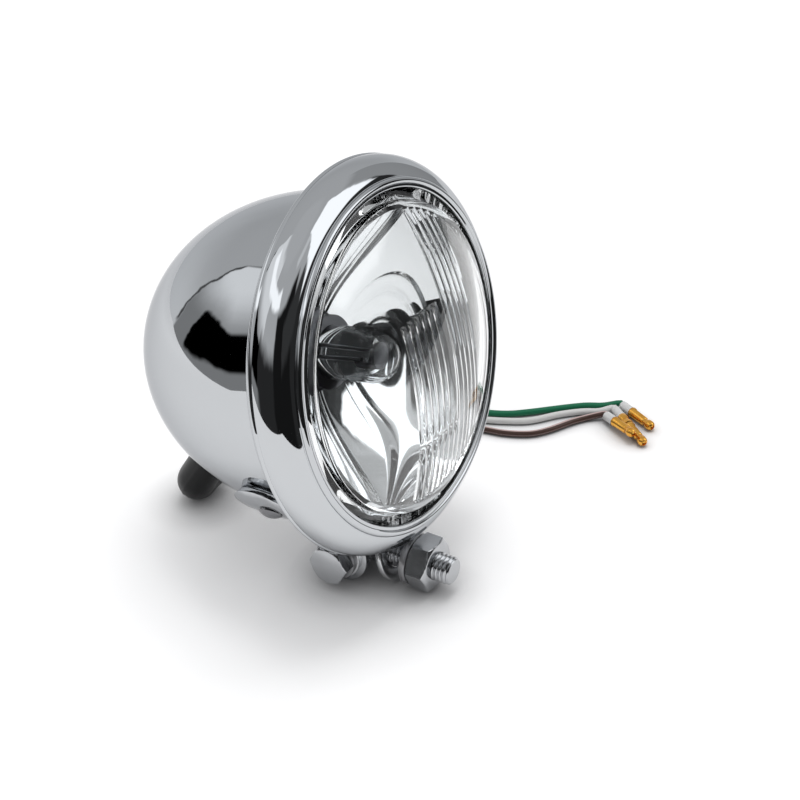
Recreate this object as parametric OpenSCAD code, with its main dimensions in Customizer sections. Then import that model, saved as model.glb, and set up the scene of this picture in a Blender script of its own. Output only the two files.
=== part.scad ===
/* [Lens] */
// Radius of the domed, clear part of the glass
lens_dome_r = 50; // [40:0.5:60]
// Height of the dome's crown above its edge
lens_crown = 11; // [8:0.5:14]
// Thickness of the glass
lens_glass = 4; // [3:0.5:5]
// Width of the flat rim round the dome, which the trim ring holds
lens_rim_w = 6; // [5:0.5:8]
// Thickness of the flat rim
lens_rim_t = 3.5; // [3:0.1:4.5]
// Radius of one vertical flute moulded inside the glass
flute_r = 1.5; // [1:0.1:1.6]
// Distance between the flutes
flute_pitch = 3.4; // [3.3:0.1:4]

/* [Trim ring] */
// How far the ring's lip covers the rim of the glass
ring_hold = 2; // [1.5:0.1:3]
// Radius of the big rolled edge, in section
ring_roll_r = 9.2; // [8:0.1:11]
// Sheet thickness of the ring
ring_sheet = 1; // [0.8:0.1:1.2]
// Height of the stepped bead round the opening
ring_bead_r = 1.2; // [1:0.1:1.4]
// Angle of the retaining screw below the horizontal
ring_screw_angle = 16; // [10:1:30]

/* [Shell] */
// Step from the shell's mouth down to its round body
shell_step = 9.45; // [8:0.05:11]
// Length of the bullet-shaped tail behind the round body
shell_tail = 66.75; // [58:0.25:80]
// Fullness of the tail's curve, where 2 is an ellipse
shell_fullness = 2.06; // [1.9:0.02:2.3]
// Sheet thickness of the shell
shell_sheet = 1.2; // [0.8:0.1:1.5]

/* [Reflector and bulb] */
// Focal length of the reflector
focal = 22; // [19:0.5:26]
// Sheet thickness of the reflector
reflector_sheet = 0.8; // [0.6:0.1:1]
// Radius of the bulb's neck in the reflector
neck_r = 12.5; // [11.5:0.1:14]
// Radius of the bulb's glass
bulb_r = 9; // [7.5:0.5:10]
// Length of the bulb's glass past its base
bulb_len = 33; // [28:0.5:36]

/* [Saddle] */
// Thickness of the strap and of its two ears
saddle_t = 3; // [2.5:0.1:3.5]
// Width of the strap along the lamp
saddle_w = 22; // [18:1:26]
// Angle from the bottom to the centre of each rounded strap end
saddle_angle = 49; // [42:1:56]
// Gap between the two ears
ear_gap = 16; // [13:0.5:19]
// Radius of a rivet's head
rivet_head_r = 4; // [3.3:0.1:4.8]

/* [Pivot] */
// Radius of the pivot bolt
bolt_r = 4; // [3:0.5:5]
// Width across the flats of the bolt's head and nut
bolt_af = 13; // [10:0.5:16]
// Thickness of the bolt's head
bolt_head_t = 5.3; // [4:0.1:7]

/* [Mounting stud] */
// Radius of the stud's thread
stud_r = 5; // [4:0.5:5]
// Height from the stud's axis up to the trim ring's edge
stud_clear = 6.4; // [6:0.1:8]
// Width across the flats of the stud's nut
stud_af = 17; // [14:0.5:18]
// Thickness of the stud's nut
stud_nut_t = 8; // [6:0.5:10]
// Thread left free past the nut
stud_end = 6.4; // [5:0.1:12]
// Radius of the loose flat washer
stud_washer_r = 10; // [9.5:0.5:11]
// Lean of the loose flat washer
washer_lean = 15; // [8:1:18]

/* [Wiring] */
// Radius of the rubber boot
boot_r = 7; // [6:0.5:8]
// Length of the boot's leg from the shell to its elbow
boot_leg = 35.5; // [34:0.5:42]
// Length of the boot's outlet arm
boot_arm = 14; // [11:0.5:17]
// Diameter of each wire
wire_d = 2.6; // [2.2:0.1:2.6]

/* [Hidden] */
$fn = 64;

// Clearances between pieces
slip = 0.05;      // two pieces that lie on each other
strap_gap = 0.15; // the strap's straight section over the tail's curve
hole_gap = 0.2;   // a bolt in a drilled hole
swivel_gap = 0.3; // the stud's eye beside an ear
bore_gap = 0.05;  // the stud's eye round the bolt
mouth_gap = 0.8;  // the shell's mouth inside the ring's roll
ground_gap = 0.082; // the loose washer above the ground

// Stations along the lamp, measured back from the edge of the glass dome
lip_front = 1.6;
lip_back = lip_front + ring_sheet;
gasket_t = 1;
rim_front = lip_back + gasket_t;
rim_back = rim_front + lens_rim_t;
roll_y = ring_roll_r + 2.4;
mouth_front = roll_y - 2.1;
mouth_back = roll_y + 5.9;
flare_r = 5;
straight = 7.8;
tail_y = mouth_back + flare_r + straight;

// The glass dome is a sphere through the crown and the edge
dome_r = (pow(lens_dome_r, 2) + pow(lens_crown, 2)) / (2 * lens_crown);
dome_y = dome_r - lens_crown;
dome_inner_r = dome_r - lens_glass;
rim_inner_r = lens_dome_r - 3;
lens_rim_r = lens_dome_r + lens_rim_w;

// The ring's opening lies over the glass's rim, and its roll goes round the shell's mouth
ring_opening_r = lens_rim_r - ring_hold;
ring_roll_at = ring_opening_r + 1.4;
ring_out = ring_roll_at + ring_roll_r;
mouth_r = ring_out - ring_sheet - mouth_gap;
shell_r = mouth_r - shell_step;
function roll_inner(y) = ring_roll_at + sqrt(pow(ring_roll_r - ring_sheet, 2) - pow(roll_y - y, 2));

// The reflector is a paraboloid that opens at the back of the glass rim
mirror_r = lens_dome_r + 0.5;
mirror_y = rim_back + 0.5 + pow(mirror_r, 2) / (4 * focal);
function mirror_at(r) = mirror_y - r * r / (4 * focal);
mirror_flange_r = lens_rim_r + 1.5;
neck_len = 5.2;
neck_back = mirror_at(neck_r) + neck_len;
neck_wall = 1;

// Stations of the bulb along the lamp
bulb_wall = 1;
bulb_seat = neck_back - 1;
bulb_tip = bulb_seat - bulb_len;
barrel_front = bulb_seat - 8;
flange_t = 1.4;
flange_r = neck_r + 3.5;
barrel_r = neck_r - 2.5;
barrel_back = neck_back + 12;
socket_front = neck_back + 4;
socket_back = neck_back + 20;
socket_wall = 3.5;
socket_r = barrel_r + socket_wall;
cap_t = 1.4;
cap_r = flange_r + 2.2 + cap_t;
cap_front = neck_back - 4.6;
cap_back = socket_back - 3.6;
cap_lip = 2.6;

// The saddle sits across the shell, behind the flare of its mouth
pivot_y = mouth_back + flare_r + saddle_w / 2 + 2.5;
pivot_drop = ring_out + stud_clear;
saddle_front = pivot_y - saddle_w / 2;
saddle_back = pivot_y + saddle_w / 2;
rivet_angles = [saddle_angle - 20, saddle_angle - 2];
ear_in = ear_gap / 2;
ear_out = ear_in + saddle_t;
stud_washer_t = 2;
ear_r = stud_washer_r * cos(washer_lean) + stud_washer_t / 2 * sin(washer_lean) + ground_gap;
washer_t = 1.6;
washer_r = 2 * bolt_r;
spring_t = 2.2;
spring_r = bolt_r + 3.4;
head_x = ear_out + washer_t + spring_t;
nut_x = ear_out + washer_t;
bolt_nut_t = 6.5;
bolt_end = nut_x + bolt_nut_t + 3;
bolt_chamfer = 0.8;
eye_w = ear_gap - 2 * swivel_gap;
eye_r = ear_r - 1;

// Stations along the stud, measured from the pivot
washer_at = eye_r + 5.5;
spring_at = washer_at + 6.9;
stud_spring_t = 2.2;
stud_spring_r = stud_r + 4.05;
stud_nut_at = spring_at + stud_spring_t;
stud_groove = 1;
stud_groove_r = stud_r - 0.9;
stud_free = stud_nut_at + stud_nut_t + 0.3;
stud_reach = stud_nut_at + stud_nut_t + stud_end;
neck_cone_r = stud_r + 0.9;

// The boot leaves the tail where the shell's skin faces down and back
boot_at = 0.78;
tail_slope = shell_fullness * pow(boot_at, shell_fullness - 1) * shell_r
    / (2 * sqrt(1 - pow(boot_at, shell_fullness)) * shell_tail);
boot_dir = [tail_slope, -1] / norm([tail_slope, 1]);
boot_foot = [tail_y + shell_tail * boot_at, -tail_r(boot_at, 0)];
elbow = boot_foot + boot_dir * boot_leg;
boot_neck_r = boot_r - 1.5;
boot_arm_r = boot_r - 1;

// The lamp leans back on its ears until the boot's elbow meets the ground
lean_y = elbow[0] - pivot_y;
lean_z = elbow[1] + pivot_drop;
rest_tilt = atan2(lean_z, lean_y) - asin((boot_r - ear_r) / norm([lean_y, lean_z]));

// The origin lies on the ground, midway between the stud's tip and the boot or the tail
tail_reach = (tail_y - pivot_y) * cos(rest_tilt) + pivot_drop * sin(rest_tilt)
    + norm([shell_tail * cos(rest_tilt), shell_r * sin(rest_tilt)]);
boot_reach = lean_y * cos(rest_tilt) + lean_z * sin(rest_tilt);
pivot_at = [0, (stud_reach - max(tail_reach, boot_reach + boot_r)) / 2, ear_r];

// Radius of the tail's skin at a share t of its length, for a skin d inside the outer one
function tail_r(t, d) = (shell_r - d) * sqrt(max(0, 1 - pow(t, shell_fullness)));
// Points of an arc round c, from angle a to angle b
function arc(c, r, a, b, n) = [for (i = [0:n]) let (q = a + (b - a) * i / n) c + r * [cos(q), sin(q)]];
function reversed(v) = [for (i = [len(v) - 1:-1:0]) v[i]];

// Turns a section, drawn as radius and station, round the lamp's axis
module lathe() {
    rotate([-90, 0, 0]) rotate_extrude($fn = 96) children();
}

// Places what is drawn on the lamp's own axis into the resting pose
module lamp() {
    translate(pivot_at) rotate([-rest_tilt, 0, 0])
        translate([0, -pivot_y, pivot_drop]) children();
}

// Puts a shape drawn along +Z on a ray from the lamp's axis, a degrees from the bottom towards +X
module radial(a, y) {
    translate([0, y, 0]) rotate([0, 180 - a, 0]) children();
}

// A rectangle between two corners
module box2(a, b) {
    translate(a) square(b - a);
}

// A flat, round washer along +Z
module washer(outer, inner, t) {
    difference() {
        cylinder(r = outer, h = t);
        translate([0, 0, -1]) cylinder(r = inner, h = t + 2);
    }
}

// A split spring washer along +Z, its cut leaning as the real one's does
module spring_washer(outer, inner, t) {
    difference() {
        washer(outer, inner, t);
        rotate([0, 0, 40]) translate([outer / 2, 0, t / 2]) rotate([25, 0, 0])
            cube([outer + 4, 1.2, 3 * t], center = true);
    }
}

// A hexagonal prism along +Z with a corner on +X, chamfered at one end or both
module hex(af, t, both) {
    corner = af / sqrt(3);
    intersection() {
        cylinder(r = corner, h = t, $fn = 6);
        rotate_extrude() polygon([[0, 0], [both ? af / 2 : corner + 1, 0],
            [corner + 1, both ? (corner + 1 - af / 2) * 0.5 : 1], [corner + 1, t - (corner + 1 - af / 2) * 0.5],
            [af / 2, t], [0, t]]);
    }
}

// The pressed bullet shell, from its mouth to its closed tail
module shell_section() {
    polygon(concat(shell_skin(0), reversed(shell_skin(shell_sheet))));
}
function shell_skin(d) = concat(
    [[mouth_r - d, mouth_front]],
    arc([mouth_r - 1.6, mouth_back - 1.6], 1.6 - d, 0, 90, 4),
    arc([shell_r + flare_r, mouth_back + flare_r], flare_r + d, 270, 180, 6),
    [for (i = [0:28]) let (t = 1 - pow(1 - i / 28, 1.6)) [tail_r(t, d), tail_y + (shell_tail - d) * t]]);

module shell() {
    color([0.8, 0.82, 0.84]) lamp() difference() {
        lathe() shell_section();
        rivet_holes();
        boot_frame() translate([0, 0, -4]) cylinder(r = boot_neck_r + 0.1, h = 6);
        ring_screw_frame() cylinder(r = screw_r + hole_gap, h = mouth_r + 3);
    }
}

// The rolled trim ring: a big roll, a groove, a stepped bead and the inner lip
roll_start = -16;
roll_end = 84;
edge_bead_r = 0.9;
module trim_ring() {
    color([0.85, 0.87, 0.89]) lamp() difference() {
        lathe() {
            intersection() {
                translate([ring_roll_at, roll_y]) difference() {
                    circle(r = ring_roll_r);
                    circle(r = ring_roll_r - ring_sheet);
                }
                translate([ring_roll_at, roll_y]) polygon(concat([[0, 0]],
                    arc([0, 0], ring_roll_r * 2, -roll_start, -roll_end, 4)));
            }
            translate([ring_roll_at, roll_y] + (ring_roll_r - 0.3) * [cos(roll_start), -sin(roll_start)])
                circle(r = edge_bead_r);
            box2([ring_opening_r + ring_sheet / 2, lip_front], [ring_roll_at + 1.2, lip_back]);
            translate([ring_opening_r + ring_sheet / 2, lip_front + ring_sheet / 2])
                circle(r = ring_sheet / 2);
            intersection() {
                translate([ring_roll_at + 0.9, lip_front + 0.6]) circle(r = ring_bead_r);
                box2([ring_opening_r, 0], [ring_roll_at + 3, lip_back]);
            }
        }
        ring_screw_frame() {
            cylinder(r = screw_r + hole_gap, h = screw_seat + 5);
            translate([0, 0, screw_seat]) cylinder(r = screw_head_r + 0.3, h = 6);
        }
    }
}

// The small screw that holds the ring on the shell's mouth, with its square nut
screw_r = 2;
screw_head_r = 3.5;
screw_y = roll_y + 0.9;
screw_seat = ring_out - 0.6;
nut_seat = mouth_r - shell_sheet;
ring_nut_t = 3.2;
module ring_screw_frame() {
    radial(90 - ring_screw_angle, screw_y) children();
}
module ring_screw() {
    color([0.75, 0.76, 0.78]) lamp() ring_screw_frame() difference() {
        union() {
            translate([0, 0, nut_seat - ring_nut_t - 1.5]) cylinder(r = screw_r, h = screw_seat - nut_seat + ring_nut_t + 2);
            translate([0, 0, screw_seat]) cylinder(r1 = screw_head_r, r2 = screw_head_r - 0.6, h = 1.8);
        }
        for (q = [0, 90]) translate([0, 0, screw_seat + 1.8]) rotate([0, 0, q])
            cube([4, 0.9, 2.2], center = true);
    }
}
module ring_nut() {
    color([0.6, 0.61, 0.63]) lamp() ring_screw_frame() difference() {
        translate([-3.8, -3.6, nut_seat - ring_nut_t - 0.2]) cube([7.6, 7.2, ring_nut_t]);
        cylinder(r = screw_r + slip, h = mouth_r);
    }
}

// The pressed glass lens, with vertical flutes moulded on its inner face
module lens() {
    color([0.85, 0.92, 0.95, 0.6]) lamp() {
        difference() {
            lathe() {
                intersection() {
                    translate([0, dome_y]) circle(r = dome_r, $fn = 200);
                    box2([0, -lens_crown - 1], [lens_dome_r, rim_back]);
                }
                box2([rim_inner_r, rim_front], [lens_rim_r, rim_back]);
            }
            translate([0, dome_y, 0]) sphere(r = dome_inner_r, $fn = 200);
            rotate([-90, 0, 0]) translate([0, 0, rim_front]) cylinder(r = rim_inner_r, h = 20);
        }
        intersection() {
            union() {
                flutes(4, 8, -60, 60);
                flutes(-3, 2, -22, 14);
                flutes(-3, 3, -60, -28);
            }
            rotate([-90, 0, 0]) translate([0, 0, -20]) cylinder(r = rim_inner_r - 1, h = 40);
        }
    }
}
// A row of flutes, from number a to number b, between two heights
module flutes(a, b, low, high) {
    for (k = [a:b]) intersection() {
        translate([k * flute_pitch, dome_y, 0]) rotate([0, 90, 0])
            rotate_extrude($fn = 200) translate([sqrt(pow(dome_inner_r + 0.3, 2) - pow(k * flute_pitch, 2)), 0])
                circle(r = flute_r, $fn = 24);
        translate([k * flute_pitch - 5, -20, low]) cube([10, 40, high - low]);
    }
}
module lens_gasket() {
    color([0.12, 0.12, 0.12]) lamp() lathe()
        box2([ring_opening_r + 0.3, lip_back], [lens_rim_r, rim_front]);
}

// The mirrored reflector, glued to the back of the glass rim
module reflector() {
    color([0.9, 0.91, 0.93]) lamp() lathe() {
        polygon(concat(
            [for (i = [0:18]) let (r = neck_r + (mirror_r - neck_r) * i / 18) [r, mirror_at(r)]],
            [[mirror_r, rim_back], [mirror_flange_r, rim_back], [mirror_flange_r, rim_back + 1],
                [mirror_r + 1, rim_back + 1]],
            [for (i = [18:-1:0]) let (r = neck_r + (mirror_r + 0.4 - neck_r) * i / 18)
                [r + (i == 0 ? neck_wall : 0), mirror_at(r) + reflector_sheet]]));
        box2([neck_r, mirror_at(neck_r)], [neck_r + neck_wall, neck_back - slip]);
    }
}

// Four flat springs that press the glass and reflector into the ring
clip_t = 0.6;
clip_turn = 14;
module retaining_clips() {
    color([0.7, 0.71, 0.74]) lamp() for (a = [45, 135, 225, 315])
        rotate([-90, 0, 0]) rotate([0, 0, a - clip_turn / 2]) rotate_extrude(angle = clip_turn)
            translate([0, rim_back + 1]) {
                polygon([[lens_rim_r - 1.8, 0], [lens_rim_r + 1.3, 0], [lens_rim_r + 3.5, 0.5],
                    [clip_end, -clip_spring], [clip_end, clip_t - clip_spring], [lens_rim_r + 3.5, 0.5 + clip_t],
                    [lens_rim_r + 1.2, clip_t], [lens_rim_r - 1.8, clip_t]]);
            }
}
clip_spring = 0.75;
clip_end = roll_inner(rim_back + 1 - clip_spring) - 0.1;

// The twin-filament bulb: a hollow glass, its shield and posts, and its metal base
module bulb_glass() {
    color([0.9, 0.95, 1, 0.4]) lamp() lathe() difference() {
        bulb_outline(bulb_r);
        bulb_outline(bulb_r - bulb_wall);
    }
}
module bulb_outline(r) {
    box2([0, bulb_tip + bulb_r], [r, bulb_seat - slip + (r < bulb_r ? 1 : 0)]);
    intersection() {
        translate([0, bulb_tip + bulb_r]) circle(r = r);
        box2([0, bulb_tip], [bulb_r, bulb_tip + bulb_r]);
    }
}
module bulb_shield() {
    color([0.6, 0.6, 0.62]) lamp() {
        for (x = [-3.5, 3.5]) translate([x, bulb_seat, 0]) rotate([90, 0, 0]) cylinder(r = 0.6, h = 22);
        translate([0, bulb_seat - 20, 0]) rotate([90, 0, 0]) difference() {
            cylinder(r = 4.4, h = 7);
            translate([0, 0, -1]) cylinder(r = 3.9, h = 7.4);
            translate([-5, -0.5, -1]) cube([10, 6, 7]);
        }
    }
}
module bulb_base() {
    color([0.78, 0.78, 0.76]) lamp() {
        lathe() difference() {
            union() {
                box2([0, barrel_front], [neck_r - 0.2, neck_back]);
                box2([0, neck_back], [flange_r, neck_back + flange_t]);
                box2([0, neck_back], [barrel_r, barrel_back]);
            }
            box2([-1, barrel_front - 1], [bulb_r + slip, bulb_seat]);
        }
        for (a = [90, 210, 330]) rotate([0, a, 0]) translate([flange_r - 1, neck_back, -3])
            cube([3, flange_t, 6]);
    }
}

// The wire bail that holds the bulb's flange on the neck
bail_r = 0.7;
bail_at = barrel_r + 1.4;
module bulb_clip() {
    color([0.72, 0.73, 0.75]) lamp() translate([0, neck_back + flange_t + bail_r, 0]) {
        rotate([-90, 0, 0]) rotate([0, 0, -30]) rotate_extrude(angle = 240)
            translate([bail_at, 0]) circle(r = bail_r, $fn = 24);
        for (s = [-1, 1]) translate([s * bail_at * cos(30), 0, bail_at * sin(30)]) {
            sphere(r = bail_r + 0.1, $fn = 24);
            cylinder(r = bail_r, h = 8, $fn = 24);
        }
    }
}

// The black socket on the bulb's base, and the rubber cap that seals it to the reflector
module bulb_socket() {
    color([0.1, 0.1, 0.1]) lamp() lathe() difference() {
        box2([0, socket_front], [socket_r, socket_back]);
        box2([-1, socket_front - 1], [barrel_r + slip, barrel_back]);
    }
}
module dust_cap() {
    color([0.15, 0.15, 0.15]) lamp() lathe() {
        box2([neck_r + neck_wall + slip, cap_front], [cap_r, cap_front + 1.8]);
        box2([cap_r - cap_t, cap_front], [cap_r, cap_back]);
        box2([socket_r + slip, cap_back - cap_t], [cap_r, cap_back]);
        box2([socket_r + slip, cap_back - cap_t], [socket_r + 1.5, cap_back + cap_lip]);
    }
}

// A tube of eight sides swept along hand-chosen points
function side(p, i) = p[min(i + 1, len(p) - 1)] - p[max(i - 1, 0)];
function unit(v) = v / norm(v);
function ring_at(p, i, r) = let (d = unit(side(p, i)),
    u = unit(cross(d, abs(d[2]) > 0.9 ? [1, 0, 0] : [0, 0, 1])), v = cross(u, d))
    [for (k = [0:7]) p[i] + r * (cos(45 * k + 22.5) * u + sin(45 * k + 22.5) * v)];
module tube(p, r) {
    n = len(p);
    polyhedron(points = [for (i = [0:n - 1]) each ring_at(p, i, r / cos(22.5))],
        faces = concat([[for (k = [0:7]) k]],
            [for (i = [0:n - 2], k = [0:7]) let (m = (k + 1) % 8)
                [8 * i + k, 8 * i + 8 + k, 8 * i + 8 + m, 8 * i + m]],
            [[for (k = [7:-1:0]) 8 * (n - 1) + k]]));
}

// The three leads inside the housing, from the socket to the boot
lead_gap = wire_d + 1.4;
boot_gap = wire_d + 0.5;
module inner_leads() {
    foot = concat([0], boot_foot) + concat([0], boot_dir) * boot_inside;
    for (k = [-1:1]) color(k < 0 ? [0.45, 0.3, 0.2] : k > 0 ? [0, 0.4, 0.25] : [0.9, 0.9, 0.9])
        lamp() tube([[lead_gap * k, socket_back + slip, 0], [lead_gap * k, socket_back + 4, 0],
            [lead_gap * k, socket_back + 9, foot[2] * 0.13], [lead_gap * k, foot[1] - 8, foot[2] * 0.4],
            [boot_gap * k, foot[1] - 6, foot[2] * 0.65], foot + [boot_gap * k, 0, 0] - 4 * concat([0], boot_dir),
            foot + [boot_gap * k, 0, 0]], wire_d / 2);
}

// The rubber boot: a leg square to the shell's skin, an elbow and an outlet arm towards +X
boot_inside = -3.8;
boot_sink = 0.15;
module boot_frame() {
    translate(concat([0], boot_foot)) rotate([atan2(-boot_dir[0], boot_dir[1]), 0, 0]) children();
}
module wire_boot() {
    color([0.04, 0.04, 0.04]) lamp() {
        boot_frame() {
            translate([0, 0, boot_inside]) cylinder(r = boot_r, h = 1.8);
            translate([0, 0, boot_inside + 1]) cylinder(r = boot_neck_r, h = 4);
            translate([0, 0, -boot_sink]) cylinder(r = boot_r, h = boot_leg + boot_sink);
            translate([0, 0, boot_leg]) sphere(r = boot_r);
        }
        translate(concat([0], elbow)) rotate([0, 90, 0]) cylinder(r = boot_arm_r, h = boot_arm);
    }
}

// The strap riveted under the shell, with the two ears that carry the pivot bolt
module saddle() {
    color([0.7, 0.72, 0.74]) lamp() difference() {
        union() {
            difference() {
                saddle_strap();
                rivet_holes();
            }
            for (s = [-1, 1]) translate([s > 0 ? ear_in : -ear_out, 0, 0]) rotate([90, 0, 90])
                linear_extrude(saddle_t) {
                    translate([pivot_y, -pivot_drop]) circle(r = ear_r);
                    polygon([[saddle_front + 1, -shell_r - 0.1], [pivot_y - ear_r + 0.4, -pivot_drop],
                        [pivot_y + ear_r - 0.4, -pivot_drop], [saddle_back - 1, -shell_r - 0.1]]);
                }
        }
        translate([-ear_out - 1, pivot_y, -pivot_drop]) rotate([0, 90, 0])
            cylinder(r = bolt_r + hole_gap, h = 2 * ear_out + 2);
    }
}
module saddle_strap() {
    intersection() {
        lathe() strap_section();
        rotate([90, 0, 90]) linear_extrude(2 * shell_r + 20, center = true) {
            translate([pivot_y, saddle_z]) circle(r = saddle_w / 2 + 0.8);
            box2([saddle_front - 0.8, -shell_r - 20], [saddle_back + 0.8, saddle_z]);
        }
    }
}
// The holes that the rivets pass through
module rivet_holes() {
    for (a = rivet_angles, s = [-1, 1])
        radial(s * a, pivot_y) translate([0, 0, rivet_in - 3]) cylinder(r = rivet_r + 0.1, h = 15);
}
// The strap's section, whose inner face follows the shell's taper
saddle_z = -(shell_r + saddle_t) * cos(saddle_angle) - 1;
module strap_section() {
    inner = [for (y = [saddle_front, tail_y, (tail_y + saddle_back) / 2, saddle_back])
        [skin_r(y) + strap_gap, y]];
    polygon(concat(inner, reversed([for (p = inner) p + [saddle_t, 0]])));
}
function skin_r(y) = y < tail_y ? shell_r : tail_r((y - tail_y) / shell_tail, 0);

// Four rivets through the strap and the shell, with round heads outside and flat ones inside
rivet_r = 2.4;
rivet_out = skin_r(pivot_y - rivet_head_r) + strap_gap + saddle_t;
rivet_in = skin_r(pivot_y + rivet_head_r) - shell_sheet - 0.3;
module rivets() {
    color([0.35, 0.35, 0.36]) lamp() for (a = rivet_angles, s = [-1, 1]) radial(s * a, pivot_y) {
        translate([0, 0, rivet_out]) intersection() {
            translate([0, 0, -rivet_head_r * 1.1]) sphere(r = rivet_head_r * 1.5);
            cylinder(r = rivet_head_r, h = 5);
        }
        translate([0, 0, rivet_in - 1.2]) cylinder(r = rivet_r, h = rivet_out - rivet_in + 1.4);
        translate([0, 0, rivet_in - 1.2]) cylinder(r = rivet_head_r - 0.6, h = 1.2);
    }
}

// Along the pivot bolt: +Z runs from the head's side to the nut's side, which is +X
module pivot() {
    translate(pivot_at) rotate([0, 90, 0]) children();
}
module pivot_bolt() {
    color([0.78, 0.8, 0.82]) pivot() {
        translate([0, 0, -head_x]) cylinder(r = bolt_r, h = head_x + bolt_end - bolt_chamfer);
        translate([0, 0, bolt_end - bolt_chamfer])
            cylinder(r1 = bolt_r, r2 = bolt_r - bolt_chamfer, h = bolt_chamfer);
        translate([0, 0, -head_x]) mirror([0, 0, 1]) rotate([0, 0, 30])
            hex(bolt_af, bolt_head_t, false);
    }
}
module pivot_lock_washer() {
    color([0.5, 0.5, 0.52]) pivot() translate([0, 0, -ear_out - washer_t - spring_t])
        spring_washer(spring_r, bolt_r + hole_gap, spring_t);
}
module pivot_washer_head() {
    color([0.72, 0.74, 0.76]) pivot() translate([0, 0, -ear_out - washer_t])
        washer(washer_r, bolt_r + hole_gap, washer_t);
}
module pivot_washer_nut() {
    color([0.72, 0.74, 0.76]) pivot() translate([0, 0, ear_out])
        washer(washer_r, bolt_r + hole_gap, washer_t);
}
module pivot_nut() {
    color([0.75, 0.77, 0.79]) pivot() translate([0, 0, nut_x]) difference() {
        rotate([0, 0, 30]) hex(bolt_af, bolt_nut_t, true);
        translate([0, 0, -1]) cylinder(r = bolt_r + slip, h = bolt_nut_t + 2);
    }
}

// Along the stud: +Z runs from the pivot to the stud's tip, which is -Y
module stud_frame() {
    translate(pivot_at) rotate([90, 0, 0]) children();
}
module mounting_stud() {
    color([0.74, 0.75, 0.77]) stud_frame() difference() {
        union() {
            rotate([0, 90, 0]) cylinder(r = eye_r, h = eye_w, center = true);
            cylinder(r = stud_r, h = stud_free - stud_groove);
            cylinder(r = stud_groove_r, h = stud_free + 0.1);
            translate([0, 0, stud_free]) cylinder(r = stud_r, h = stud_reach - bolt_chamfer - stud_free);
            translate([0, 0, eye_r - 2.5]) cylinder(r1 = neck_cone_r, r2 = stud_r, h = 4);
            translate([0, 0, stud_reach - bolt_chamfer])
                cylinder(r1 = stud_r, r2 = stud_r - bolt_chamfer, h = bolt_chamfer);
        }
        rotate([0, 90, 0]) cylinder(r = bolt_r + bore_gap, h = eye_w + 2, center = true);
    }
}
module stud_washer() {
    color([0.8, 0.82, 0.84]) stud_frame() translate([0, 0, washer_at]) rotate([-washer_lean, 0, 0])
        translate([0, 0, -stud_washer_t / 2]) washer(stud_washer_r, washer_hole_r, stud_washer_t);
}
// The leaning washer's hole just clears the thread
washer_hole_r = (stud_r + slip + sin(washer_lean) * stud_washer_t / 2) / cos(washer_lean);
module stud_lock_washer() {
    color([0.5, 0.5, 0.52]) stud_frame() translate([0, 0, spring_at])
        spring_washer(stud_spring_r, stud_r + hole_gap, stud_spring_t);
}
module stud_nut() {
    color([0.7, 0.71, 0.73]) stud_frame() translate([0, 0, stud_nut_at]) difference() {
        hex(stud_af, stud_nut_t, true);
        translate([0, 0, -1]) cylinder(r = stud_r + slip, h = stud_nut_t + 2);
    }
}

// Routes of the three free wires on the ground, as round numbers chosen by hand
outlet = [boot_arm, pivot_at[1] + boot_reach, boot_r];
ground = wire_d / 2 + 0.02;
brown_route = [[0, -1.7, 0.9], [8, -1.9, 0.3], [18, -3.6, -2.9]];
brown_ground = [[46, 40], [60, 34], [72, 24], [82, 12], [90, 0], [96, -9], [98.5, -15],
    [100.5, -24], [105, -32.5], [111.5, -37.5], [121, -42], [127.5, -46]];
white_route = [[0, 0, -2], [9, 0, -2.6], [18, -0.6, -4.4]];
white_ground = [[44, 47], [60, 44], [74, 36], [86, 24], [96, 9], [103, -6], [105, -12],
    [109, -20.5], [114, -28], [124, -35.5], [131, -42.5], [134.6, -48]];
green_route = [[0, 1.7, 0.9], [9, 2.2, 0.4], [20, 3, -3.2]];
green_ground = [[46, 52.5], [62, 51], [78, 44], [91, 32], [101, 16], [107, 0], [110, -9.5],
    [114, -18], [120, -25], [128.5, -33.5], [135.5, -41], [139.5, -47.5]];
function route(near, far, end) = concat([for (p = near) outlet + p],
    [for (p = far) [p[0], p[1], ground]], [end]);

// Each terminal lies on a line from the mouth of its sleeve to its tip; bare is the length of
// the crimp barrel that its slid-back sleeve leaves in sight
function terminal(mouth, tip, bare) = [tip, unit(tip - mouth), bare];
brown_end = terminal([128.4, -57, 3.2], [120.4, -69.3, 4.9], 0);
white_end = terminal([133.5, -58.7, 2.1], [120.6, -74, 2.1], 7);
green_end = terminal([139.7, -59.9, 2.1], [133.2, -71.7, 2.1], 0);
bullet_len = 13.5;
sleeve_len = 6;
sleeve_r = 1.9;
bullet_r = 2;
barrel_r_in = 1.4;
barrel_len = 4;
function mouth_of(e) = e[0] - (bullet_len + e[2]) * e[1];
function back_of(e) = mouth_of(e) - sleeve_len * e[1];
module along(start, way) {
    translate(start) rotate([0, acos(way[2]), atan2(way[1], way[0])]) children();
}
module sleeve(e) {
    color([0.92, 0.93, 0.92]) along(back_of(e), e[1]) difference() {
        cylinder(r = sleeve_r, h = sleeve_len);
        translate([0, 0, sleeve_len - barrel_len]) cylinder(r = barrel_r_in, h = barrel_len + 1);
    }
}
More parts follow.
